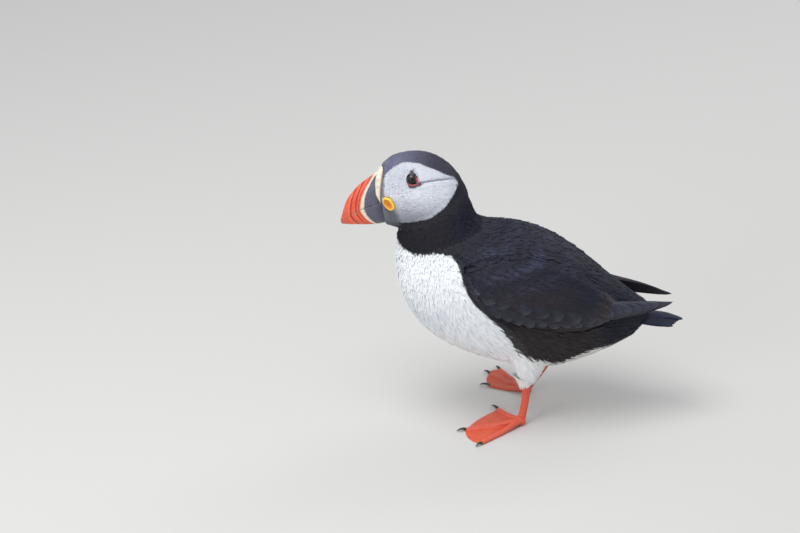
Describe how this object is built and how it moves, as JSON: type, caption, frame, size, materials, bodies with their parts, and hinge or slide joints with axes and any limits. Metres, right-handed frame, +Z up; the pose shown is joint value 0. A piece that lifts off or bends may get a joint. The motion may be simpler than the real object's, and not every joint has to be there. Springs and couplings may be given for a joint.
{
  "type": "atlantic puffin",
  "caption": "Still life-size Atlantic puffin in breeding plumage, standing on webbed feet with its neck drawn in and its wings folded over the tail.",
  "frame": {"origin": "bottom centre of the whole bird's box, on the floor under its belly", "axes": "+X towards the tail, so the bill points along -X; +Y towards the bird's right side; +Z up"},
  "size_m": [0.2366, 0.129, 0.1967],
  "materials": {
    "plumage_black": "soft blue-black feathers",
    "plumage_white": "soft white feathers",
    "plumage_grey": "very short pale grey feathers, with a dark crown",
    "bill_cream": "horny, satin",
    "bill_slate": "horny, satin",
    "bill_red": "horny, satin, grooved",
    "eye": "wet, very glossy",
    "eye_ring": "bare red skin",
    "rosette": "wrinkled yellow-orange skin",
    "leg_skin": "orange-red skin with fine scales",
    "claw": "black horn"
  },
  "bodies": {
    "root": {"head": "plumage_grey", "neck": "plumage_black", "back": "plumage_black", "belly": "plumage_white", "tail": "plumage_black", "wing_left": "plumage_black", "wing_right": "plumage_black", "primaries_left": "plumage_black", "primaries_right": "plumage_black", "thigh_left": "plumage_white", "thigh_right": "plumage_white", "bill_cere": "bill_cream", "bill_upper_base": "bill_slate", "bill_upper_tip": "bill_red", "bill_lower_base": "bill_slate", "bill_lower_tip": "bill_red", "eye_left": "eye", "eye_right": "eye", "eye_ring_left": "eye_ring", "eye_ring_right": "eye_ring", "eye_plate_upper_left": "bill_slate", "eye_plate_upper_right": "bill_slate", "eye_plate_lower_left": "bill_slate", "eye_plate_lower_right": "bill_slate", "rosette_left": "rosette", "rosette_right": "rosette", "shank_left": "leg_skin", "shank_right": "leg_skin", "foot_left": "leg_skin", "foot_right": "leg_skin", "claw_inner_left": "claw", "claw_middle_left": "claw", "claw_outer_left": "claw", "claw_inner_right": "claw", "claw_middle_right": "claw", "claw_outer_right": "claw"}
  },
  "joints": []
}
